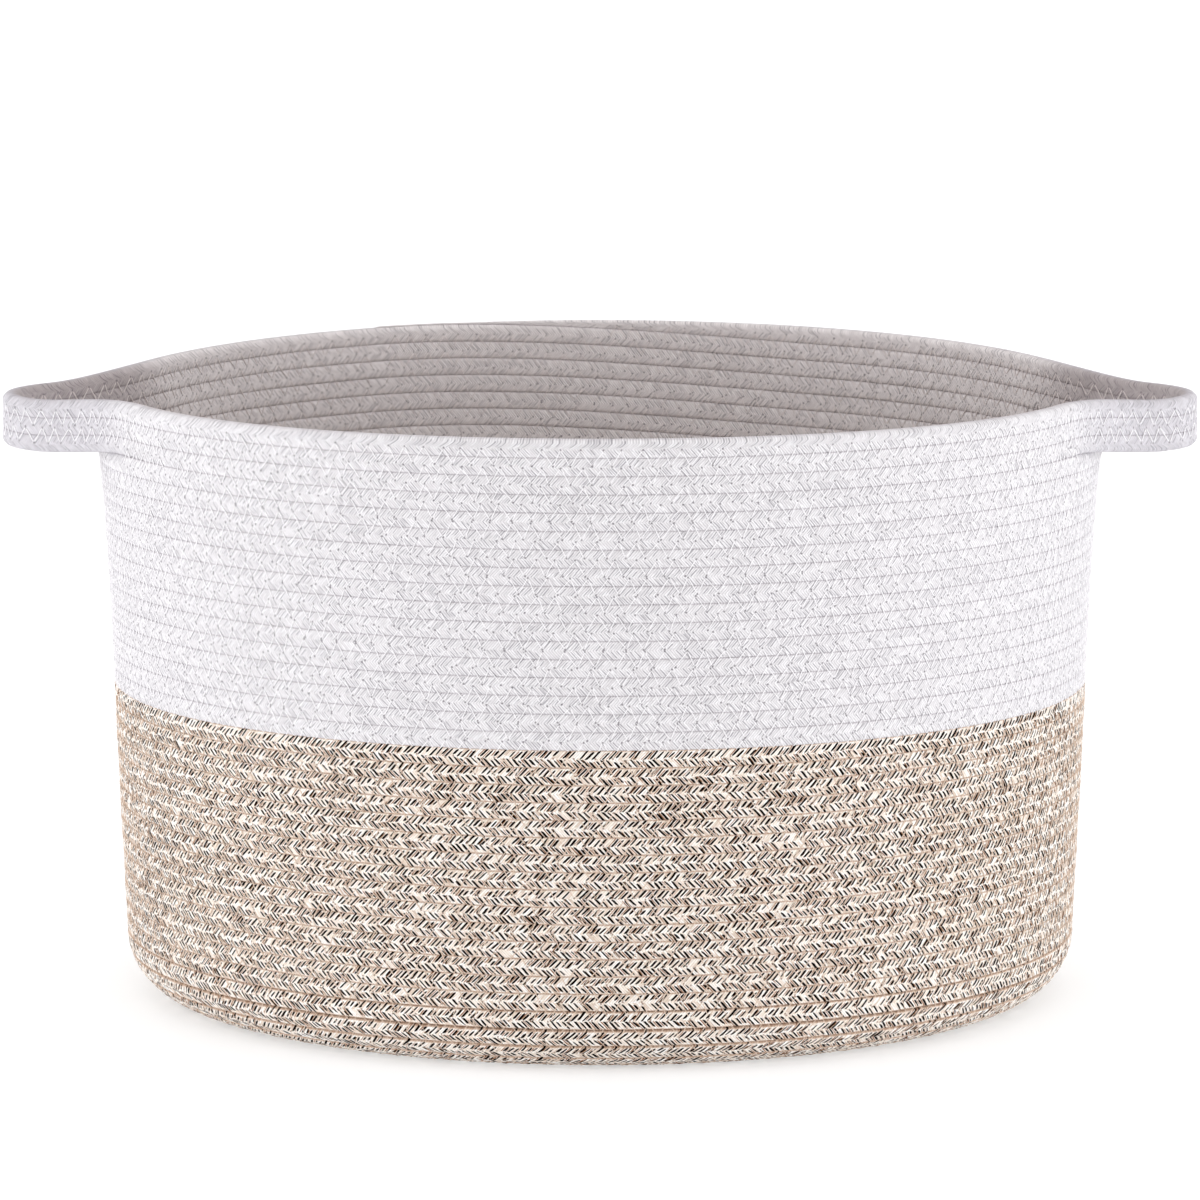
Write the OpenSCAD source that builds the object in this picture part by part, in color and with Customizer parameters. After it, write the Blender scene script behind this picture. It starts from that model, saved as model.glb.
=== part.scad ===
// Coiled rope laundry basket with two loop handles.
// A mottled rope is coiled flat for the base and up the lower wall, and a white rope
// carries on up to the rim. Every row is zigzag-sewn to the next. The top rows leave
// the wall at each side and form the handle loops. Millimetres, +Z up, +X through the
// right handle, origin at the middle of the underside.

/* [Body] */
// Outer diameter across the rim, without the handles
rim_d = 560; // [520:2:600]
// Outer diameter across the foot of the wall
base_d = 533; // [500:1:540]
// Height from the floor to the top of the rim
body_h = 344; // [300:1:400]
// Turns of rope in the flat base
base_rows = 24; // [20:1:24]
// Rows of rope round the curve between base and wall
corner_rows = 5; // [4:1:6]
// Rows of mottled rope in the straight lower wall
lower_rows = 15; // [10:1:18]

/* [Rope] */
// Diameter of the rope
rope_d = 10; // [9.9:0.1:10.5]
// Diameter of the filler core inside the braided sheath
core_d = 6; // [4:0.1:7]
// Height of one row of white rope
white_pitch = 9.82; // [9.6:0.01:9.88]
// Height of one row of mottled rope
mottled_pitch = 9.45; // [9.2:0.01:9.6]
// Depth that the underside of the base is pressed flat
base_press = 0.3; // [0.1:0.05:0.6]
// Thickness of a seam's thread
thread_d = 1.2; // [0.8:0.1:1.6]

/* [Handles] */
// Rows of rope that run out into each handle
handle_rows = 3; // [2:1:4]
// Distance between the outer ends of the two handles
handle_span = 669; // [640:1:700]
// Radius of the rope's centre round the end of a handle
loop_r = 48; // [40:1:55]
// Radius of the reverse curve between rim and handle
fillet_r = 150; // [100:5:180]
// Distance from the basket's axis to the line that a handle bends about
bend_x = 270; // [266:0.5:272]
// Clearance between a handle and the rim across the bend
bend_gap = 0.4; // [0.3:0.05:0.6]

/* [Hidden] */
rope_r = rope_d / 2;
core_r = core_d / 2;
thread_r = thread_d / 2;
rim_rc = rim_d / 2 - rope_r;
wall_foot_rc = base_d / 2 - rope_r;
base_zc = rope_r - base_press;

rim_zc = body_h - rope_r;
rim_top_edge = rim_zc + white_pitch / 2;
rim_low_edge = rim_top_edge - handle_rows * white_pitch;
bend_z = (rim_top_edge + rim_low_edge) / 2;
upper_rows = 14;
colour_z = rim_low_edge - upper_rows * white_pitch;
corner_top_z = colour_z - lower_rows * mottled_pitch;
corner_rc = corner_top_z - base_zc;
corner_x = wall_foot_rc - corner_rc;
corner_step = 90 / corner_rows;

// Angle on the rim where the rope leaves the circle, and angle round the handle's end
// where the reverse curve meets it.
loop_x = handle_span / 2 - rope_r - loop_r;
fillet_o = rim_rc + fillet_r;
fillet_t = loop_r + fillet_r;
leave_a = acos((pow(fillet_o, 2) + pow(loop_x, 2) - pow(fillet_t, 2)) / (2 * fillet_o * loop_x));
fillet_x = fillet_o * cos(leave_a);
fillet_y = fillet_o * sin(leave_a);
loop_a = atan2(fillet_y, fillet_x - loop_x);

bend_half = (rim_top_edge - rim_low_edge) / 2;
knuckle_r = bend_half - bend_gap;
box_w = 400;
$fn = 64;

// Centre of the rope, as [radius, height]
function wall_rc(z) =
    wall_foot_rc + (rim_rc - wall_foot_rc) * (z - corner_top_z) / (rim_zc - corner_top_z);
function base_at(k) = [corner_x - (k + 0.5) * mottled_pitch, base_zc];
function corner_at(k) = on_corner((k + 0.5) * corner_step);
function lower_at(k) = on_wall(corner_top_z + (k + 0.5) * mottled_pitch);
function upper_at(k) = on_wall(colour_z + (k + 0.5) * white_pitch);
function rim_z(k) = rim_low_edge + (k + 0.5) * white_pitch;
function on_wall(z) = [wall_rc(z), z];
function on_corner(a) = [corner_x + corner_rc * sin(a), corner_top_z - corner_rc * cos(a)];

module rope_dots(centres, r) {
    for (c = centres)
        translate(c)
            circle(r);
}

// Cross-section of sewn rows, without their cores
module sheaths(centres) {
    difference() {
        rope_dots(centres, rope_r);
        rope_dots(centres, core_r);
    }
}

module band(r0, z0, r1, z1) {
    translate([r0, z0])
        square([r1 - r0, z1 - z0]);
}

base_centres = [for (k = [0 : base_rows - 1]) base_at(k)];
corner_centres = [for (k = [0 : corner_rows - 1]) corner_at(k)];
lower_centres = [for (k = [0 : lower_rows - 1]) lower_at(k)];
upper_centres = [for (k = [0 : upper_rows - 1]) upper_at(k)];
rim_centres = [for (k = [0 : handle_rows - 1]) [0, rim_z(k)]];

// Start of the rope, folded tight at the middle of the base
module base_start() {
    start_r = corner_x - base_rows * mottled_pitch;
    color("tan")
        rotate_extrude()
            intersection() {
                translate([0, base_zc])
                    circle(rope_r);
                band(0, 0, start_r, rope_d);
            }
}

module base_coil() {
    color("tan")
        rotate_extrude()
            intersection() {
                sheaths(base_centres);
                band(corner_x - base_rows * mottled_pitch, 0, corner_x, rope_d);
            }
}

module base_corner() {
    color("tan")
        rotate_extrude()
            intersection() {
                sheaths(corner_centres);
                band(corner_x, 0, rim_d, corner_top_z);
            }
}

module lower_wall() {
    color("tan")
        rotate_extrude()
            intersection() {
                sheaths(lower_centres);
                band(0, corner_top_z, rim_d, colour_z);
            }
}

module upper_wall() {
    color("white")
        rotate_extrude()
            intersection() {
                sheaths(upper_centres);
                band(0, colour_z, rim_d, rim_low_edge);
            }
}

module core_rings(centres) {
    color("ivory")
        rotate_extrude()
            rope_dots(centres, core_r);
}

// Threads of the seam between two rows, one in the groove on each face
module seam_pair(p, q) {
    across = (q - p) / norm(q - p);
    groove = sqrt(pow(rope_r + thread_r, 2) - pow(norm(q - p) / 2, 2));
    for (side = [-1, 1])
        translate((p + q) / 2 + side * groove * [across[1], -across[0]])
            circle(thread_r, $fn = 6);
}

module seams(centres) {
    for (k = [1 : len(centres) - 1])
        seam_pair(centres[k - 1], centres[k]);
}

module base_thread() {
    color("wheat")
        rotate_extrude()
            seams(base_centres);
}

module corner_thread() {
    color("wheat")
        rotate_extrude()
            seams(concat([base_at(0)], corner_centres, [lower_at(0)]));
}

module lower_wall_thread() {
    color("wheat")
        rotate_extrude()
            seams(concat(lower_centres, [upper_at(0)]));
}

module upper_wall_thread() {
    color("white")
        rotate_extrude()
            seams(upper_centres);
}

// Sweeps a cross-section, drawn round x = 0 and from the floor up, along an arc
module arc_sweep(centre, r, from, to) {
    translate(centre)
        rotate([0, 0, from])
            rotate_extrude(angle = to - from)
                translate([r, 0])
                    children();
}

// Right handle: reverse curves and round end
module loop_path() {
    arc_sweep([loop_x, 0, 0], loop_r, -loop_a, loop_a)
        children();
    for (s = [0, 1])
        mirror([0, s, 0])
            arc_sweep([fillet_x, fillet_y, 0], fillet_r, leave_a + 180, loop_a + 180)
                children();
}

// Front stretch of the rim, clear of the handles' knuckles
module rim_path() {
    difference() {
        arc_sweep([0, 0, 0], rim_rc, leave_a - 180, -leave_a)
            children();
        for (s = [0, 1])
            mirror([s, 0, 0])
                knuckle(bend_half);
    }
}

// Round root of the handles, which turns about the bend's line
module knuckle(r) {
    translate([bend_x, 0, bend_z])
        rotate([90, 0, 0])
            cylinder(r = r, h = box_w, center = true);
}

// Part of the loop that moves with a handle
module handle_space() {
    knuckle(knuckle_r);
    translate([bend_x, -box_w / 2, rim_low_edge - rope_r])
        cube([box_w, box_w, body_h]);
}

module rim_profile() {
    intersection() {
        sheaths(rim_centres);
        band(-rope_d, rim_low_edge, rope_d, body_h);
    }
}

module rim_front() {
    color("white")
        rim_path()
            rim_profile();
}

module rim_front_core() {
    color("ivory")
        rim_path()
            rope_dots(rim_centres, core_r);
}

module rim_front_thread() {
    color("white") {
        rim_path()
            seams(rim_centres);
        arc_sweep([0, 0, 0], rim_rc, leave_a - 180, -leave_a)
            seam_pair(upper_at(upper_rows - 1) - [rim_rc, 0], rim_centres[0]);
    }
}

module rim_back() {
    mirror([0, 1, 0])
        rim_front();
}

module rim_back_core() {
    mirror([0, 1, 0])
        rim_front_core();
}

module rim_back_thread() {
    mirror([0, 1, 0])
        rim_front_thread();
}

module handle_part() {
    intersection() {
        loop_path()
            children();
        handle_space();
    }
}

// One rope of the right handle, counted from its lowest row
module handle_rope(k) {
    low = rim_low_edge + k * white_pitch;
    color("white")
        handle_part()
            intersection() {
                translate([0, rim_z(k)])
                    difference() {
                        circle(rope_r);
                        circle(core_r);
                    }
                band(-rope_d, low, rope_d, k == handle_rows - 1 ? body_h : low + white_pitch);
            }
}

module handle_core() {
    color("ivory")
        handle_part()
            rope_dots(rim_centres, core_r);
}

module handle_thread() {
    color("white")
        handle_part()
            seams(rim_centres);
}

module left() {
    mirror([1, 0, 0])
        children();
}

base_start();
base_coil();
base_corner();
lower_wall();
upper_wall();
rim_front();
rim_back();
core_rings(base_centres);  // base_core
core_rings(corner_centres);  // corner_core
core_rings(lower_centres);  // lower_wall_core
core_rings(upper_centres);  // upper_wall_core
rim_front_core();
rim_back_core();
base_thread();
corner_thread();
lower_wall_thread();
upper_wall_thread();
rim_front_thread();
rim_back_thread();
left() handle_rope(2);  // left_handle_top_rope
left() handle_rope(1);  // left_handle_middle_rope
left() handle_rope(0);  // left_handle_bottom_rope
left() handle_core();  // left_handle_core
left() handle_thread();  // left_handle_thread
handle_rope(2);  // right_handle_top_rope
handle_rope(1);  // right_handle_middle_rope
handle_rope(0);  // right_handle_bottom_rope
handle_core();  // right_handle_core
handle_thread();  // right_handle_thread
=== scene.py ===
"""Coiled rope laundry basket: looks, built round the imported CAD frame. Metres, +Z up."""

import math

import bpy
import numpy as np
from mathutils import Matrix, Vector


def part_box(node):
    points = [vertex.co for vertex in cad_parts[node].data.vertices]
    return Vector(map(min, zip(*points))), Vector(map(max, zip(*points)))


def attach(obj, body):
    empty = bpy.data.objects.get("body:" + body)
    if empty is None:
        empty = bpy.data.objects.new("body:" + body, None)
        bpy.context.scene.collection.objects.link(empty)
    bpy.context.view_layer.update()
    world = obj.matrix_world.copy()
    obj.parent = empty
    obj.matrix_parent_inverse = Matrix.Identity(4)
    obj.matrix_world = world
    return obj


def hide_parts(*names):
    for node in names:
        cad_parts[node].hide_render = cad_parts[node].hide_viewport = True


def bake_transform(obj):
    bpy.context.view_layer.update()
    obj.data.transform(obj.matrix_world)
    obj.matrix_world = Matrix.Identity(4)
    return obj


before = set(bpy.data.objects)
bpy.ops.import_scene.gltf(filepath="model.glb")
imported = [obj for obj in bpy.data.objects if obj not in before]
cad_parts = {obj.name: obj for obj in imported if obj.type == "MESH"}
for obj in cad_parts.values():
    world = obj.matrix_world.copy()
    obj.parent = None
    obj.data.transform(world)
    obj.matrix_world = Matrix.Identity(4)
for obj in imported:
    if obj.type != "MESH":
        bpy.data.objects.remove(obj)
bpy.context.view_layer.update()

MM = 0.001


def low(node):
    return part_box(node)[0]


def high(node):
    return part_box(node)[1]


# ---------------------------------------------------------------- sizes from the frame
ROPE_R = 5 * MM
BASE_ROWS, CORNER_ROWS, LOWER_ROWS, UPPER_ROWS, RIM_ROWS = 24, 5, 15, 14, 3
CORNER_ROW = BASE_ROWS
LOWER_ROW = CORNER_ROW + CORNER_ROWS
UPPER_ROW = LOWER_ROW + LOWER_ROWS
RIM_ROW = UPPER_ROW + UPPER_ROWS
LAST_ROW = RIM_ROW + RIM_ROWS

CORNER_X = high("base_coil").x
BASE_ZC = high("base_coil").z - ROPE_R
CORNER_TOP = low("lower_wall").z
COLOUR_Z = low("upper_wall").z
RIM_LOW = low("rim_front").z
RIM_RC = high("rim_back").y - ROPE_R
RIM_ZC = high("rim_back").z - ROPE_R
CORNER_RC = CORNER_TOP - BASE_ZC
FOOT_RC = CORNER_X + CORNER_RC
MOTTLED_PITCH = (COLOUR_Z - CORNER_TOP) / LOWER_ROWS
WHITE_PITCH = (RIM_LOW - COLOUR_Z) / UPPER_ROWS
CORNER_PITCH = CORNER_RC * math.pi / 2 / CORNER_ROWS

# Handle's plan: the rope leaves the rim on a reverse curve and goes round the end.
LOOP_R = 48 * MM
FILLET_R = 150 * MM
LOOP_X = high("right_handle_top_rope").x - ROPE_R - LOOP_R
# The handle droops from its root to its end.
HANDLE_DROOP = 5.5 * MM
DROOP_X, DROOP_REACH = 252 * MM, 62 * MM

# The coil: rows are level, and climb to the next row in a short stretch at the back.
CLIMB = 0.16
CLIMB_END = math.radians(90) + math.pi * CLIMB
# The base is a plain spiral up to one row, and has become level rows at the other.
SPIRAL_UNTIL, LEVEL_FROM = 16, 27
# The rope starts before row 0, curled in to the middle.
START_TURN = -0.9
# A slight saddle, lower at the handles' sides than at front and back, and an uneven wall.
SADDLE = 1.5 * MM
UNEVEN = 0.16 * MM

# The wall's top rows lean out below the handles.
FLARE = 3.0 * MM
FLARE_ROWS = 2.0
FLARE_ANGLE, FLARE_FADE = 0.55, 0.3

# Braid and sewing.
STRAND = 3.1 * MM
RINGS_PER_STRAND = 4
STITCH = 10.5 * MM
STITCH_REACH = 0.45
THREAD_R = 0.32 * MM


# ---------------------------------------------------------------- the rope's path
def smooth(x):
    x = np.clip(x, 0, 1)
    return x * x * (3 - 2 * x)


def climb(turn):
    """How far a row has climbed to the next, 0 to 1, at that many turns from the start."""
    part = turn - np.floor(turn)
    level = smooth((part - (1 - CLIMB)) / CLIMB)
    mix = smooth((turn - SPIRAL_UNTIL) / (LEVEL_FROM - SPIRAL_UNTIL))
    return part * (1 - mix) + level * mix


def row_at(turn):
    """Row coordinate of the rope's centre: row n lies between n and n + 1."""
    row = np.floor(turn) + 0.5 + climb(turn)
    tail = turn > LAST_ROW - 1
    return np.where(tail, LAST_ROW - 0.5 + climb(turn) / 2, row)


def height_share(turn):
    """Rope's height as a share of a full row: only the tail at the rim is thinner."""
    return np.where(turn > LAST_ROW - 1, 1 - climb(turn), 1.0)


def section_line(row):
    """Radius and height of the wall's middle at a row coordinate, and its direction."""
    pitch_sum = (BASE_ROWS - row) * MOTTLED_PITCH
    angle = np.clip((row - CORNER_ROW) / CORNER_ROWS, 0, 1) * math.pi / 2
    lower_z = CORNER_TOP + (row - LOWER_ROW) * MOTTLED_PITCH
    upper_z = COLOUR_Z + (row - UPPER_ROW) * WHITE_PITCH
    wall_z = np.where(row < UPPER_ROW, lower_z, upper_z)
    slope = (RIM_RC - FOOT_RC) / (RIM_ZC - CORNER_TOP)
    wall_r = FOOT_RC + slope * (wall_z - CORNER_TOP)
    on_base, on_corner = row < CORNER_ROW, row < LOWER_ROW
    radius = np.where(on_base, CORNER_X - pitch_sum,
                      np.where(on_corner, CORNER_X + CORNER_RC * np.sin(angle), wall_r))
    height = np.where(on_base, BASE_ZC,
                      np.where(on_corner, CORNER_TOP - CORNER_RC * np.cos(angle), wall_z))
    tilt = np.where(on_corner, angle, math.pi / 2 - math.atan(slope))
    return radius, height, np.cos(tilt), np.sin(tilt)


def pitch_at(row):
    return np.where(row < CORNER_ROW, MOTTLED_PITCH,
                    np.where(row < LOWER_ROW, CORNER_PITCH,
                             np.where(row < UPPER_ROW, MOTTLED_PITCH, WHITE_PITCH)))


FILLET_O = RIM_RC + FILLET_R
FILLET_T = LOOP_R + FILLET_R
LEAVE = math.acos((FILLET_O**2 + LOOP_X**2 - FILLET_T**2) / (2 * FILLET_O * LOOP_X))
FILLET_X, FILLET_Y = FILLET_O * math.cos(LEAVE), FILLET_O * math.sin(LEAVE)
LOOP_ANGLE = math.atan2(FILLET_Y, FILLET_X - LOOP_X)


def handle_plan(share):
    """Point of the right handle's plan at a share of its length, from -1 to 1."""
    side = np.sign(share)
    fillet_len = FILLET_R * (LOOP_ANGLE - LEAVE)
    loop_len = LOOP_R * LOOP_ANGLE
    run = np.abs(share) * (fillet_len + loop_len)
    on_loop = run < loop_len
    loop_a = run / LOOP_R
    fillet_a = LOOP_ANGLE - (run - loop_len) / FILLET_R
    x = np.where(on_loop, LOOP_X + LOOP_R * np.cos(loop_a),
                 FILLET_X - FILLET_R * np.cos(fillet_a))
    y = np.where(on_loop, LOOP_R * np.sin(loop_a), FILLET_Y - FILLET_R * np.sin(fillet_a))
    return x, side * y


def from_side(azimuth):
    """Angle from the nearer of +X and -X, and which of them, as 1 or -1."""
    side = np.where(np.cos(azimuth) >= 0, 1.0, -1.0)
    beta = np.arctan2(np.sin(azimuth) * side, np.cos(azimuth) * side)
    return beta, side


def wobble(azimuth, row):
    """Slight unevenness of a hand-fed coil."""
    a = np.sin(2 * azimuth + 0.37 * row) + 0.6 * np.sin(5 * azimuth - 1.3 * row + 1.0)
    return a + 0.5 * np.sin(9 * azimuth + 2.1 * row)


def place(turn):
    """Centre of the rope, and the direction across the row, at each turn."""
    azimuth = CLIMB_END + 2 * math.pi * turn
    row = row_at(turn)
    radius, height, across_r, across_z = section_line(row)
    share = np.clip((row - CORNER_ROW) / (LAST_ROW - CORNER_ROW), 0, 1)
    uneven = wobble(azimuth, row) * UNEVEN * smooth(share * 6)
    beta, side = from_side(azimuth)
    flare = FLARE * np.exp(-np.clip(RIM_ROW - row, 0, None) / FLARE_ROWS)
    flare = flare * smooth((FLARE_ANGLE - np.abs(beta)) / FLARE_FADE)
    radius = radius + uneven + np.where(row < RIM_ROW, flare, 0)
    x, y = radius * np.cos(azimuth), radius * np.sin(azimuth)
    z = height - SADDLE * share * np.cos(2 * azimuth)
    looped = (row > RIM_ROW) & (np.abs(beta) < LEAVE)
    px, py = handle_plan(beta / LEAVE)
    x = np.where(looped, side * px, x)
    y = np.where(looped, side * py, y)
    out = smooth((np.abs(x) - DROOP_X) / DROOP_REACH)
    z = z - HANDLE_DROOP * np.where(looped, out, 0)
    across = np.stack([across_r * np.cos(azimuth), across_r * np.sin(azimuth), across_z], -1)
    upright = np.zeros_like(across)
    upright[..., 2] = 1
    across = np.where(looped[..., None], upright, across)
    return np.stack([x, y, z], -1), across


def unit(v):
    return v / np.linalg.norm(v, axis=-1, keepdims=True)


# Length of rope from its start to each of many turns.
SAMPLES_PER_TURN = 1440
TURNS = np.linspace(START_TURN, LAST_ROW, 62 * SAMPLES_PER_TURN)
STEPS = np.linalg.norm(np.diff(place(TURNS)[0], axis=0), axis=1)
LENGTHS = np.concatenate([[0], np.cumsum(np.minimum(STEPS, 2 * MM))])

# Stitches of the zigzag from its start: a hand-guided seam, so they are uneven.
KNOTS = np.arange(0, LENGTHS[-1] / STITCH + 1, 0.5)
KNOT_SHIFT = 0.08 * np.sin(2.3 * KNOTS) + 0.06 * np.sin(5.9 * KNOTS + 1.0)
STITCHES = np.interp(LENGTHS, STITCH * (KNOTS + KNOT_SHIFT - KNOT_SHIFT[0]), KNOTS)


def length_at(turn):
    return np.interp(turn, TURNS, LENGTHS)


def turn_at(length):
    return np.interp(length, LENGTHS, TURNS)


def stitch_at(turn):
    return np.interp(turn, TURNS, STITCHES)


def along_at(turn):
    """Direction of the rope."""
    step = 2e-5
    return unit(place(turn + step)[0] - place(turn - step)[0])


def frames(turn):
    """Centre of the rope, and its directions across and outward."""
    centre, across = place(turn)
    along = along_at(turn)
    across = unit(across - along * np.sum(across * along, axis=-1, keepdims=True))
    return centre, across, np.cross(along, across)


# ---------------------------------------------------------------- rope meshes
# Places round the rope in quarter turns: 0 faces outward, 1 up the row, 2 inward.
ROUND = np.array([-1, -0.68, -0.37, -0.28, -0.15, 0, 0.15, 0.28, 0.37, 0.68, 1,
                  1.32, 1.63, 1.83, 2, 2.17, 2.37, 2.68])
ROUND_BASE = np.array([-1, -0.37, -0.22, 0, 0.22, 0.37, 1, 1.63, 1.78, 2, 2.22, 2.37])
# A free rope is round; a rope pressed against its neighbour is flatter and wider.
FREE_POWER, HELD_POWER = 2.35, 3.0
HELD_SPREAD = 0.5
# Rows reach just past each other's edge, so that no light shows between them.
CONTACT = 1.01
BRAID_LEAN = 4.3 * MM
STITCH_PULL = 0.3 * MM
PULL_WIDTH = 2.2 * MM
# Stitch phase given to a seam without stitches: halfway between two needle holes.
UNSEWN = 0.25
# Where the rope fades into its two ends, and how thin its tail becomes.
END_FADE, TIP_LENGTH, THIN_TAIL = 12 * MM, 5 * MM, 0.12
# How far the innermost rope may reach past the middle of the base.
PAST_MIDDLE = 0.8 * MM
# Share of the handle's angle over which its gap isn't sewn.
GAP_SHARE = 0.86


def seam_swing(phase):
    """The zigzag's offset from its seam in rows, below it and above it in turn."""
    reach = STITCH_REACH * (1 + 0.1 * np.sin(1.7 * phase))
    return reach * (4 * np.abs((phase - 0.5) % 1 - 0.5) - 1)


def sewn(turn):
    """False where a row isn't sewn to the row above: at its ends, and in the handles' gaps."""
    beta, _ = from_side(CLIMB_END + 2 * math.pi * turn)
    gap = (np.floor(turn) == RIM_ROW - 1) & (np.abs(beta) < LEAVE * GAP_SHARE)
    return (turn >= START_TURN) & (turn < LAST_ROW - 1 - CLIMB / 2) & ~gap


def held(turn):
    """1 where a row is pressed against the row above, falling to 0 where its top is free."""
    beta, _ = from_side(CLIMB_END + 2 * math.pi * turn)
    gap = smooth((LEAVE - np.abs(beta)) / (LEAVE * 0.2)) * (np.floor(turn) == RIM_ROW - 1)
    top = smooth((turn - (LAST_ROW - 1 - CLIMB / 2)) / (CLIMB / 2))
    return (1 - gap) * (1 - top)


def signed_power(x, power):
    return np.sign(x) * np.abs(x) ** power


def section_at(turn, v, pitch):
    """Half width and height of the rope's section at v, and how much its neighbour presses it."""
    share = np.clip(height_share(turn), THIN_TAIL, 1)
    press = np.where(v % 4 < 2, held(turn), held(turn - 1))
    power = 2 / (FREE_POWER + (HELD_POWER - FREE_POWER) * press)
    w = ROPE_R * np.sqrt(share) * signed_power(np.cos(v * math.pi / 2), power)
    h = (1 + HELD_SPREAD * press) * signed_power(np.sin(v * math.pi / 2), power)
    return w, pitch / 2 * share * np.clip(h, -CONTACT, CONTACT), press


def stitches_at(turn, h, pitch):
    """Stitch phases of the seams above and below, and how much their threads pull at h."""
    above, below = sewn(turn), sewn(turn - 1)
    up = np.where(above, stitch_at(turn), UNSEWN)
    down = np.where(below, stitch_at(turn - 1), UNSEWN)
    line_up = pitch * (0.5 + seam_swing(up))
    line_down = pitch * (seam_swing(down) - 0.5)
    pull = np.maximum(np.exp(-((h - line_up) / PULL_WIDTH) ** 2) * above,
                      np.exp(-((h - line_down) / PULL_WIDTH) ** 2) * below)
    return up, down, pull


def rope_mesh(name, first_turn, last_turn, braid_relief, rounds=ROUND):
    """A length of rope as a closed tube, with its braid and the pull of its stitches."""
    start = round(length_at(first_turn) / STRAND) * STRAND
    strands = int(round((length_at(last_turn) - start) / STRAND))
    count = strands * RINGS_PER_STRAND // 1
    u = np.linspace(start, start + strands * STRAND, count + 1)[:, None]
    v = rounds[None, :]
    total = LENGTHS[-1]
    end_fade = smooth(np.minimum(u, total - u) / END_FADE)
    arm = np.minimum((1 + HELD_SPREAD) * np.abs(np.sin(v * math.pi / 2)) ** (2 / HELD_POWER), 1)
    at = np.clip(u + BRAID_LEAN * arm * end_fade, 0, total)
    turn = turn_at(at)
    centre, across, outward = frames(turn)
    row = row_at(turn)
    pitch = pitch_at(row)
    w, h, press = section_at(turn, v, pitch)
    # the braid's strands, pulled in by the zigzags above and below
    strand = np.cos(2 * math.pi * (u / STRAND + 0.5 * (np.floor(v) % 2)))
    up, down, pull = stitches_at(turn, h, pitch)
    relief = braid_relief * strand * np.sin(math.pi * arm) ** 0.6 - STITCH_PULL * pull
    tip = smooth((total - at) / TIP_LENGTH)
    w_at = (w + relief * w / ROPE_R) * tip
    h_at = (h + relief * h / ROPE_R * (1 - press)) * tip
    radius = np.hypot(centre[..., 0], centre[..., 1])
    h_at = np.where(row < CORNER_ROW, np.maximum(h_at, -PAST_MIDDLE - radius), h_at)
    co = centre + outward * w_at[..., None] + across * h_at[..., None]
    co[..., 2] = np.maximum(co[..., 2], 0)
    shape = turn.shape
    braid = np.stack([np.broadcast_to(u / STRAND, shape), np.broadcast_to(v, shape),
                      h / pitch], -1)
    beta, _ = from_side(CLIMB_END + 2 * math.pi * turn)
    # how far into a handle, which the material uses to paint shade on the handle
    looped = smooth((LEAVE * 1.1 - np.abs(beta)) / (LEAVE * 0.5)) * (row > RIM_ROW)
    stitch = np.stack([up, down, looped], -1)
    return tube_object(name, [co], {"braid": [braid], "stitch": [stitch]})


# Points of one leg of the zigzag, in stitches, and their height above the rope's crown.
THREAD_STEPS = np.array([0.03, 0.16, 0.5, 0.84]) / 2
THREAD_LIFT = np.array([-0.9, -0.1, -0.3, -0.1]) * MM
THREAD_SIDES = 4
SUNK = 2.5 * MM


def seam_line(legs, face):
    """One face's thread over the legs of a zigzag, and the direction out of the rope."""
    phase = (legs[:, None] + THREAD_STEPS[None, :]).ravel()
    lift = np.tile(THREAD_LIFT, len(legs))
    turn = np.interp(phase, STITCHES, TURNS)
    below, above = place(turn)[0], place(turn + 1)[0]
    rise = above - below
    outward = unit(np.cross(along_at(turn), rise)) * face
    # where white meets mottled, the white thread shows only on the white row
    swing = seam_swing(phase)
    sunk = (np.floor(turn) == UPPER_ROW - 1) & (swing < 0)
    middle = below + rise * (0.5 + np.where(sunk, 0, swing))[:, None]
    height = ROPE_R + lift - np.where(sunk, SUNK, 0)
    # under the base, the thread stays above the floor
    if face > 0:
        under = np.minimum(height, BASE_ZC - 1.2 * THREAD_R)
        height = np.where(middle[:, 2] < ROPE_R, under, height)
    return middle + outward * height[:, None], outward


def thread_tube(first_turn, last_turn, face):
    """One face's zigzag over the seam above a stretch of rope; face is 1 outside, -1 inside."""
    first = math.ceil(stitch_at(first_turn))
    last = math.floor(stitch_at(last_turn))
    line, outward = seam_line(np.arange(2 * first, 2 * last) / 2, face)
    forward = unit(np.gradient(line, axis=0))
    side = unit(np.cross(forward, outward))
    lifted = np.cross(side, forward)
    around = (np.arange(THREAD_SIDES) + 0.5) * 2 * math.pi / THREAD_SIDES
    ring = (np.cos(around)[None, :, None] * side[:, None, :]
            + np.sin(around)[None, :, None] * lifted[:, None, :])
    co = line[:, None, :] + ring * THREAD_R
    co[..., 2] = np.maximum(co[..., 2], 0)
    run = np.concatenate([[0], np.cumsum(np.linalg.norm(np.diff(line, axis=0), axis=1))])
    # the last value marks the inner face, where the material paints shade
    twist = np.stack([np.broadcast_to(run[:, None] / MM, co.shape[:2]),
                      np.broadcast_to(np.arange(THREAD_SIDES) / THREAD_SIDES, co.shape[:2]),
                      np.full(co.shape[:2], float(face < 0))], -1)
    return co, twist


def thread_mesh(name, spans):
    tubes = [thread_tube(a, b, face) for a, b in spans for face in (1, -1)]
    return tube_object(name, [t[0] for t in tubes], {"twist": [t[1] for t in tubes]})


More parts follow.
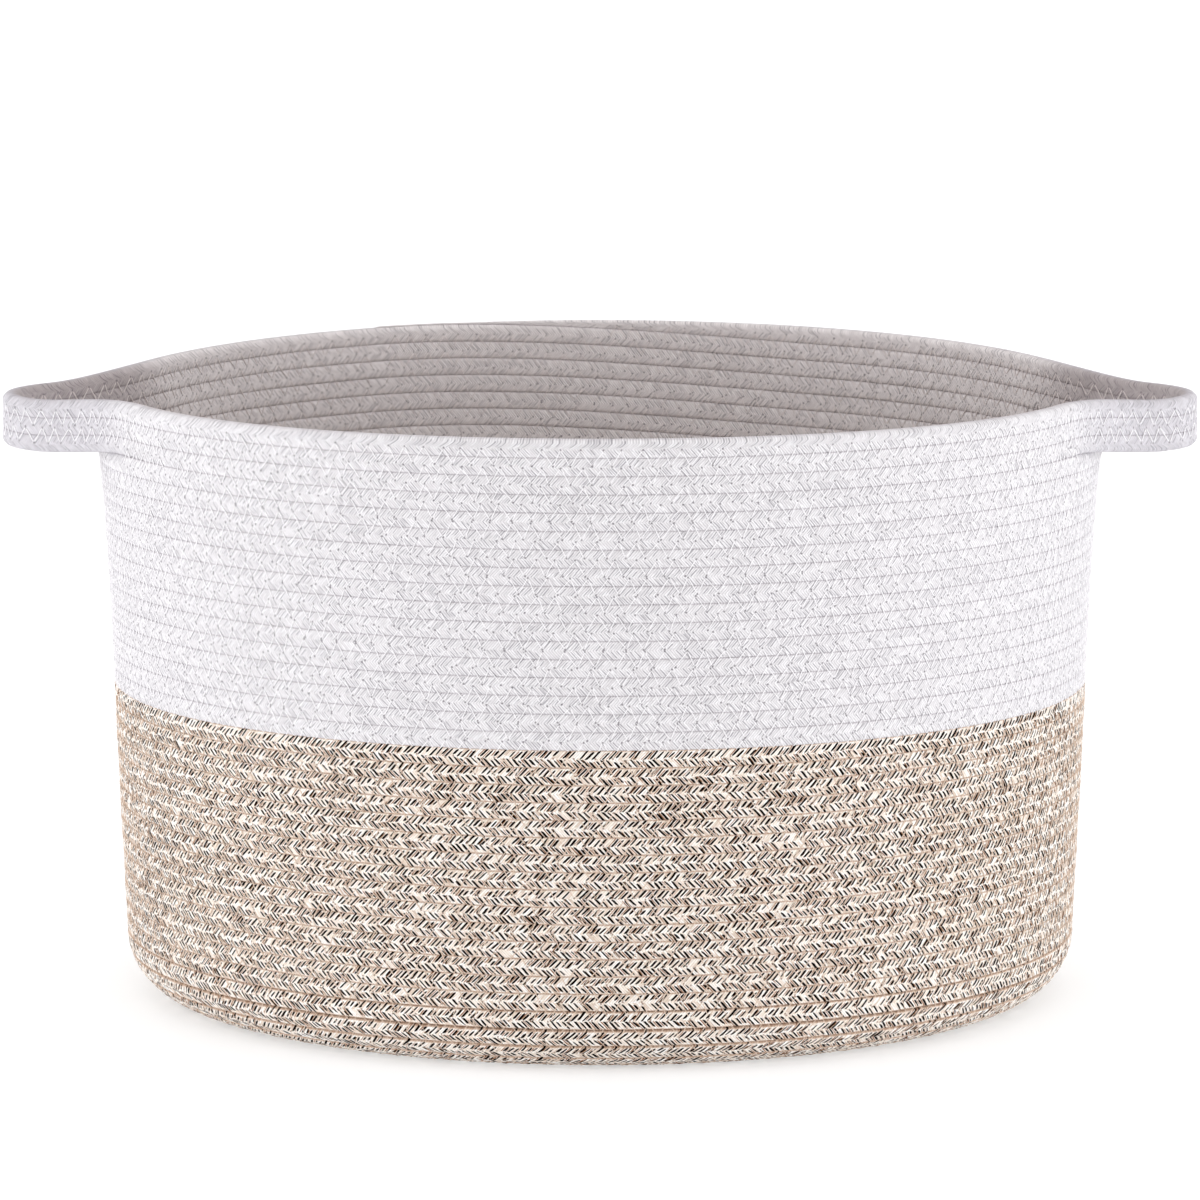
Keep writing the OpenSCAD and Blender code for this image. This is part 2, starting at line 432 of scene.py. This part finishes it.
def tube_object(name, tubes, layers):
    """One mesh of closed tubes, each from rings of points, with vector layers on its points."""
    faces, starts, smooths, base, corner = [], [], [], 0, 0
    for co in tubes:
        rings, sides = co.shape[:2]
        index = base + np.arange(rings * sides).reshape(rings, sides)
        a, b = index[:-1], index[1:]
        quads = np.stack([a, np.roll(a, -1, 1), np.roll(b, -1, 1), b], -1).reshape(-1, 4)
        faces += [quads.ravel(), index[0][::-1], index[-1]]
        ends = corner + len(quads) * 4
        starts += [corner + np.arange(len(quads)) * 4, np.array([ends, ends + sides])]
        smooths += [np.ones(len(quads), bool), np.zeros(2, bool)]
        base += rings * sides
        corner = ends + 2 * sides
    faces, starts, smooths = (np.concatenate(p) for p in (faces, starts, smooths))
    mesh = bpy.data.meshes.new(name)
    mesh.vertices.add(base)
    mesh.vertices.foreach_set("co", np.concatenate([t.reshape(-1) for t in tubes]))
    mesh.loops.add(len(faces))
    mesh.loops.foreach_set("vertex_index", faces.astype(np.int32))
    mesh.polygons.add(len(starts))
    mesh.polygons.foreach_set("loop_start", starts.astype(np.int32))
    mesh.polygons.foreach_set("use_smooth", smooths)
    for key, values in layers.items():
        layer = mesh.attributes.new(key, "FLOAT_VECTOR", "POINT")
        layer.data.foreach_set("vector", np.concatenate([p.reshape(-1) for p in values]))
    mesh.update(calc_edges=True)
    piece = bpy.data.objects.new(name, mesh)
    bpy.context.scene.collection.objects.link(piece)
    return piece


# ---------------------------------------------------------------- materials
def linear(*srgb):
    """A colour for a shader's socket from 0-255 display values."""
    part = [c / 255 for c in srgb]
    return tuple(c / 12.92 if c < 0.04045 else ((c + 0.055) / 1.055) ** 2.4 for c in part) + (1,)


class Shader:
    """A material being built: each call adds a node and returns its result."""

    def __init__(self, name, roughness, sheen):
        self.material = bpy.data.materials.new(name)
        self.material.use_nodes = True
        self.tree = self.material.node_tree
        self.main = self.tree.nodes["Principled BSDF"]
        self.main.inputs["Roughness"].default_value = roughness
        self.main.inputs["Sheen Weight"].default_value = sheen
        self.main.inputs["Sheen Roughness"].default_value = 0.6
        self.main.inputs["Specular IOR Level"].default_value = 0.12

    def node(self, kind, values, out=0, **settings):
        node = self.tree.nodes.new(kind)
        for key, value in settings.items():
            setattr(node, key, value)
        for key, value in values.items():
            self.put(node.inputs[key], value)
        return node.outputs[out]

    def put(self, socket, value):
        if isinstance(value, bpy.types.NodeSocket):
            self.tree.links.new(value, socket)
        elif value is not None:
            socket.default_value = value

    def math(self, operation, a, b=None, c=None):
        return self.node("ShaderNodeMath", {0: a, 1: b, 2: c}, operation=operation)

    def vector(self, name):
        found = self.node("ShaderNodeAttribute", {}, out="Vector", attribute_name=name)
        parts = self.node("ShaderNodeSeparateXYZ", {0: found}).node
        return parts.outputs[0], parts.outputs[1], parts.outputs[2]

    def random(self, x, y=0.0, z=0.0):
        """A value from 0 to 1 that is random for each x, y and z."""
        cell = self.node("ShaderNodeCombineXYZ", {0: x, 1: y, 2: z})
        return self.node("ShaderNodeTexWhiteNoise", {"Vector": cell}, out="Value")

    def noise(self, vector, scale, detail=2.0):
        return self.node("ShaderNodeTexNoise",
                         {"Vector": vector, "Scale": scale, "Detail": detail}, out=0)

    def between(self, x, low_end, high_end, low_value, high_value):
        """x mapped smoothly from one range to another, and held at its ends."""
        return self.node("ShaderNodeMapRange",
                         {0: x, 1: low_end, 2: high_end, 3: low_value, 4: high_value},
                         interpolation_type="SMOOTHSTEP")

    def mix(self, share, a, b, blend="MIX"):
        return self.node("ShaderNodeMix", {0: share, 6: a, 7: b}, out=2,
                         data_type="RGBA", blend_type=blend)

    def bump(self, strength, distance, height):
        normal = self.node("ShaderNodeBump",
                           {"Strength": strength, "Distance": distance, "Height": height})
        self.put(self.main.inputs["Normal"], normal)

    def ramp(self, x, *stops):
        node = self.node("ShaderNodeValToRGB", {0: x}).node
        node.color_ramp.interpolation = "LINEAR"
        elements = node.color_ramp.elements
        while len(elements) < len(stops):
            elements.new(0.5)
        for element, (position, colour) in zip(elements, stops):
            element.position = position
            element.color = colour
        return node.outputs[0]


# Painted shade: the handles a little darker, their inner faces darker and warmer still, and
# thread on any inner face darker and warmer.
HANDLE_PAINTED_SHADE = linear(235, 234, 237)
HANDLE_INNER_PAINTED_SHADE = linear(222, 218, 216)
THREAD_INNER_PAINTED_SHADE = linear(228, 221, 217)


def ply_and_shade_dashes(s, strand, column, arm, share, half_width, fibres):
    """1 on a dark mark: a dark ply on the mottled rope, painted shade in a hollow on the white
    rope; one to each strand at most, over part of the arm and tapered.
    """
    index = s.math("FLOOR", strand)
    shown = s.math("LESS_THAN", s.random(index, column, 7.0), share)
    middle = s.math("MULTIPLY_ADD", s.random(index, column, 9.0), 0.4, 0.3)
    reach = s.math("MULTIPLY_ADD", s.random(index, column, 11.0), 0.35, 0.3)
    away = s.math("DIVIDE", s.math("ABSOLUTE", s.math("SUBTRACT", arm, middle)), reach)
    width = s.math("MULTIPLY_ADD", s.random(index, column, 17.0), 0.4, 0.75)
    room = s.math("MULTIPLY", shown, s.between(away, 0.6, 1.1, half_width, -0.1))
    room = s.math("MULTIPLY", room, width)
    # each ply's middle line is a little askew and off the strand's middle
    slant = s.math("MULTIPLY", s.math("SUBTRACT", s.random(index, column, 15.0), 0.5),
                   s.math("SUBTRACT", arm, 0.5))
    offset = s.math("SUBTRACT", s.random(index, column, 13.0), 0.5)
    line = s.math("MULTIPLY_ADD", offset, 0.3, s.math("MULTIPLY_ADD", slant, 0.5, 0.5))
    aside = s.math("ABSOLUTE", s.math("SUBTRACT", s.math("FRACT", strand), line))
    aside = s.math("MULTIPLY_ADD", aside, -STRAND / MM, room)
    aside = s.math("MULTIPLY_ADD", s.math("SUBTRACT", fibres, 0.5), 0.5, aside)
    return s.between(aside, -0.02, 0.1, 0.0, 1.0)


def rope_material(name, palette, dashes, fibre_and_shade_colour, gap_shade_depth, edge_tint, inner_painted_shade, bump,
                  sheen):
    """Braided yarn: each ply of each strand takes its own colour of the palette."""
    s = Shader(name, roughness=0.92, sheen=sheen)
    u, v, y = s.vector("braid")
    up, down, looped = s.vector("stitch")
    column = s.math("FLOOR", v)
    arm = s.math("MULTIPLY", s.math("ABSOLUTE", y), 2.0)
    odd = s.math("FLOORED_MODULO", column, 2.0)
    strand = s.math("MULTIPLY_ADD", odd, 0.5, u)
    yarns = s.math("MULTIPLY", strand, 2.0)
    yarn = s.math("FLOOR", yarns)
    in_yarn = s.math("FRACT", yarns)
    half = s.math("FLOOR", s.math("MULTIPLY_ADD", arm, 1.3, s.random(yarn, column, 3.0)))
    colour = s.ramp(s.random(yarn, column, half), *palette)
    # painted shade in the hollow between yarns
    hollow_shade = s.between(s.math("PINGPONG", in_yarn, 0.5), 0.0, 0.2, gap_shade_depth, 0.0)
    colour = s.mix(hollow_shade, colour, fibre_and_shade_colour)
    # fibres lie along the strand's arm
    fibre_at = s.node("ShaderNodeCombineXYZ", {0: s.math("MULTIPLY", strand, 9.0),
                                               1: s.math("MULTIPLY", arm, 2.0), 2: column})
    fibres = s.noise(fibre_at, 1.0, detail=3.0)
    colour = s.mix(s.between(fibres, 0.4, 0.75, 0.0, 0.3), colour, fibre_and_shade_colour)
    # dark plies on the mottled rope and painted shade on the white rope, mostly in the hollows
    # between strands
    for shift, share, half_width, dash_colour in dashes:
        shifted = s.math("ADD", strand, shift)
        dark = ply_and_shade_dashes(s, shifted, column, arm, share, half_width, fibres)
        colour = s.mix(dark, colour, dash_colour)
    # the seams between rows, where the light doesn't reach
    edge = s.between(s.math("ABSOLUTE", y), 0.42, 0.5, 0.0, edge_tint[1])
    colour = s.mix(edge, colour, edge_tint[0], "MULTIPLY")
    # painted shade: inner faces a little darker and warmer, handles darker, and their inner faces
    # darker still
    inner = s.between(v, 0.9, 1.4, 0.0, 1.0)
    colour = s.mix(inner, colour, inner_painted_shade, "MULTIPLY")
    colour = s.mix(s.math("MULTIPLY", inner, looped), colour, HANDLE_INNER_PAINTED_SHADE, "MULTIPLY")
    colour = s.mix(looped, colour, HANDLE_PAINTED_SHADE, "MULTIPLY")
    hole = needle_holes(s, up, down, y)
    # painted shade in the needle holes
    colour = s.mix(s.math("MULTIPLY", hole, 0.8), colour, fibre_and_shade_colour)
    s.put(s.main.inputs["Base Color"], colour)
    # the relief of yarns, fibres and holes
    place_at = s.node("ShaderNodeCombineXYZ", {0: strand, 1: arm, 2: column})
    fibre = s.math("MULTIPLY_ADD", s.noise(place_at, 14.0), 0.5, fibres)
    crown = s.between(s.math("PINGPONG", in_yarn, 0.5), 0.0, 0.42, 0.0, 1.0)
    height = s.math("MULTIPLY_ADD", fibre, 0.5, crown)
    height = s.math("SUBTRACT", height, s.math("MULTIPLY", hole, 1.5))
    s.bump(bump, 0.4 * MM, height)
    return s.material


def needle_holes(s, up, down, y):
    """1 inside the small holes that the needle leaves near the middle of a row."""
    holes = []
    for phase, offset, centre in ((up, 0.5, 0.05), (down, 0.0, -0.05)):
        run = s.math("SUBTRACT", s.math("FRACT", s.math("ADD", phase, offset)), 0.5)
        run = s.math("MULTIPLY", run, STITCH / MM)
        rise = s.math("MULTIPLY", s.math("SUBTRACT", y, centre), MOTTLED_PITCH / MM)
        squares = s.math("ADD", s.math("POWER", run, 2.0), s.math("POWER", rise, 2.0))
        far = s.math("SQRT", squares)
        holes.append(s.between(far, 0.25, 0.75, 1.0, 0.0))
    return s.math("MAXIMUM", *holes)


def thread_material(name, light, shade):
    """Twisted sewing thread."""
    s = Shader(name, roughness=0.7, sheen=0.15)
    run, side, inside = s.vector("twist")
    lay = s.math("PINGPONG", s.math("MULTIPLY_ADD", run, 1.6, side), 0.5)
    colour = s.mix(s.between(lay, 0.0, 0.3, 1.0, 0.0), light, shade)
    # painted shade: thread on an inner face is darker and warmer
    s.put(s.main.inputs["Base Color"], s.mix(inside, colour, THREAD_INNER_PAINTED_SHADE, "MULTIPLY"))
    s.bump(0.5, 0.15 * MM, lay)
    return s.material


# On the white rope, the grey dashes and the gap colour are painted shade in the hollows between
# its strands and yarns.
WHITE_ROPE = rope_material(
    "white_rope_braid",
    ((0.0, linear(226, 224, 227)), (0.5, linear(234, 232, 235)), (1.0, linear(243, 242, 245))),
    dashes=((0.5, 0.3, 0.3, linear(188, 186, 191)), (0.0, 0.7, 0.4, linear(170, 168, 173))),
    fibre_and_shade_colour=linear(112, 108, 113), gap_shade_depth=0.42,
    edge_tint=(linear(230, 227, 229), 0.8), inner_painted_shade=linear(253, 249, 246), bump=0.5, sheen=0.1)
MOTTLED_ROPE = rope_material(
    "mottled_rope_braid",
    ((0.0, linear(222, 205, 190)), (0.16, linear(241, 229, 217)), (0.5, linear(253, 246, 238)),
     (1.0, linear(255, 254, 252))),
    dashes=((0.5, 0.42, 0.4, linear(146, 104, 74)), (0.0, 0.97, 0.77, linear(16, 6, 2))),
    fibre_and_shade_colour=linear(130, 100, 78), gap_shade_depth=0.4,
    edge_tint=(linear(208, 184, 166), 0.9), inner_painted_shade=linear(250, 245, 241), bump=0.5, sheen=0.0)
WHITE_THREAD = thread_material("white_thread_twist", linear(252, 251, 253), linear(232, 230, 234))
TAN_THREAD = thread_material("tan_thread_twist", linear(228, 208, 190), linear(188, 162, 142))


# ---------------------------------------------------------------- pieces
def finish_piece(piece, material, slot, *nodes):
    piece.data.materials.append(material)
    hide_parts(*nodes)
    return piece


def coil(prefix, turns, material, slot, relief, nodes, rounds=ROUND):
    """Rope from each of the turns to the next, as pieces that stay with the basket."""
    for number, (first, last) in enumerate(zip(turns, turns[1:]), 1):
        piece = rope_mesh(f"{prefix}_{number}", first, last, relief, rounds)
        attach(finish_piece(piece, material, slot, *nodes), "basket")


def sewing(prefix, turns, material, slot, *nodes):
    for number, (first, last) in enumerate(zip(turns, turns[1:]), 1):
        piece = thread_mesh(f"{prefix}_{number}", [(first, last)])
        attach(finish_piece(piece, material, slot, *nodes), "basket")


def bend_with(piece):
    """Bakes the rim rope's placement into its mesh."""
    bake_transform(piece)


# How far the braid's strands stand out.
WHITE_RELIEF, MOTTLED_RELIEF = 0.1 * MM, 0.26 * MM
# The left and right lengths of each rim row meet beside the left handle's root.
SPLIT_SHARE = (math.radians(212) - CLIMB_END) / (2 * math.pi)

coil("base_rope", (START_TURN, 13.8, 19.6, CORNER_ROW), MOTTLED_ROPE, "mottled_rope",
     MOTTLED_RELIEF, ("base_start", "base_coil", "base_core"), ROUND_BASE)
coil("corner_rope", (CORNER_ROW, 26, 28, LOWER_ROW), MOTTLED_ROPE, "mottled_rope", MOTTLED_RELIEF,
     ("base_corner", "corner_core"))
coil("lower_rope", (*range(LOWER_ROW, UPPER_ROW, 2), UPPER_ROW), MOTTLED_ROPE, "mottled_rope",
     MOTTLED_RELIEF, ("lower_wall", "lower_wall_core"))
coil("upper_rope", range(UPPER_ROW, RIM_ROW + 1, 2), WHITE_ROPE, "white_rope", WHITE_RELIEF,
     ("upper_wall", "upper_wall_core"))
sewing("base_sewing", (0.1, 17, CORNER_ROW - 0.5), TAN_THREAD, "mottled_thread", "base_thread")
sewing("corner_sewing", (CORNER_ROW - 0.5, LOWER_ROW - 0.5), TAN_THREAD, "mottled_thread",
       "corner_thread")
sewing("lower_sewing", (LOWER_ROW - 0.5, 36, UPPER_ROW - 1), TAN_THREAD, "mottled_thread",
       "lower_wall_thread")
sewing("upper_sewing", (UPPER_ROW - 1, 50, RIM_ROW - 1), WHITE_THREAD, "white_thread",
       "upper_wall_thread")

for side, share in (("left", (0, SPLIT_SHARE)), ("right", (SPLIT_SHARE, 1))):
    for place_name, row in (("bottom", RIM_ROW), ("middle", RIM_ROW + 1), ("top", RIM_ROW + 2)):
        piece = rope_mesh(f"{side}_{place_name}_rim_rope", row + share[0], row + share[1],
                          WHITE_RELIEF)
        finish_piece(piece, WHITE_ROPE, "white_rope", f"{side}_handle_{place_name}_rope",
                     f"{side}_handle_core", "rim_front", "rim_back", "rim_front_core",
                     "rim_back_core")
        bend_with(piece)
    spans = []
    for row in range(RIM_ROW - 1, LAST_ROW - 1):
        ends = np.linspace(row + share[0], row + share[1], 2 * SAMPLES_PER_TURN + 1)
        stitched = sewn(ends)
        edges = np.flatnonzero(np.diff(np.concatenate([[0], stitched, [0]])))
        spans += [(ends[a], ends[b - 1]) for a, b in zip(edges[::2], edges[1::2])]
    piece = thread_mesh(f"{side}_rim_sewing", spans)
    finish_piece(piece, WHITE_THREAD, "white_thread", f"{side}_handle_thread",
                 "rim_front_thread", "rim_back_thread")
    bend_with(piece)


# ---------------------------------------------------------------- studio
# Bright all round, as in the photo's studio; PITCH is the camera's, downwards in degrees.
SKY_AT_HORIZON, SKY_OVERHEAD = 1.34, 0.88
FLOOR_GLOW = 0.42
SOFTBOX_X, SOFTBOX_Y, SOFTBOX_Z = 2.6, -0.55, 0.3
SOFTBOX_AIM, SOFTBOX_SIZE, SOFTBOX_POWER = (0, 0, 0.14), (1.0, 0.5), 15
PITCH = 8.39


def floor_mesh():
    half = 9.0
    mesh = bpy.data.meshes.new("floor")
    mesh.from_pydata([(-half, -half, 0), (half, -half, 0), (half, half, 0), (-half, half, 0)],
                     [], [(0, 1, 2, 3)])
    floor = bpy.data.objects.new("floor", mesh)
    bpy.context.scene.collection.objects.link(floor)
    s = Shader("studio_floor", roughness=0.9, sheen=0)
    s.main.inputs["Base Color"].default_value = (0.7, 0.7, 0.7, 1)
    s.main.inputs["Emission Color"].default_value = (0.96, 0.985, 1, 1)
    s.main.inputs["Emission Strength"].default_value = FLOOR_GLOW
    mesh.materials.append(s.material)


def soft_light(name, place_at, aim, size, power):
    data = bpy.data.lights.new(name, "AREA")
    data.shape = "RECTANGLE"
    data.size, data.size_y = size
    data.energy = power
    data.color = (0.96, 0.98, 1)
    light = bpy.data.objects.new(name, data)
    light.location = place_at
    offset = np.array(aim) - np.array(place_at)
    light.rotation_euler = (math.atan2(math.hypot(offset[0], offset[1]), -offset[2]), 0,
                            math.atan2(-offset[0], offset[1]))
    light.visible_camera = False
    bpy.context.scene.collection.objects.link(light)


def sky():
    """Pale sky, a little brighter at the horizon than overhead."""
    world = bpy.data.worlds.new("studio")
    world.use_nodes = True
    tree = world.node_tree
    background = tree.nodes["Background"]
    background.inputs["Color"].default_value = (1, 0.98, 0.975, 1)
    look = tree.nodes.new("ShaderNodeTexCoord")
    parts = tree.nodes.new("ShaderNodeSeparateXYZ")
    fall = tree.nodes.new("ShaderNodeMapRange")
    fall.inputs["To Min"].default_value = SKY_AT_HORIZON
    fall.inputs["To Max"].default_value = SKY_OVERHEAD
    tree.links.new(look.outputs["Generated"], parts.inputs[0])
    tree.links.new(parts.outputs[2], fall.inputs["Value"])
    tree.links.new(fall.outputs[0], background.inputs["Strength"])
    bpy.context.scene.world = world


def photo_camera():
    camera = bpy.data.cameras.new("camera")
    camera.sensor_width = 36
    camera.lens = 261
    view = bpy.data.objects.new("camera", camera)
    view.location = (0, -4.837, 0.932)
    view.rotation_euler = (math.radians(90 - PITCH), 0, 0)
    bpy.context.scene.collection.objects.link(view)
    bpy.context.scene.camera = view
    bpy.context.scene.view_settings.view_transform = "Standard"


floor_mesh()
sky()
for name, side in (("left_softbox", -1), ("right_softbox", 1)):
    soft_light(name, (side * SOFTBOX_X, SOFTBOX_Y, SOFTBOX_Z), SOFTBOX_AIM, SOFTBOX_SIZE,
               SOFTBOX_POWER)
photo_camera()
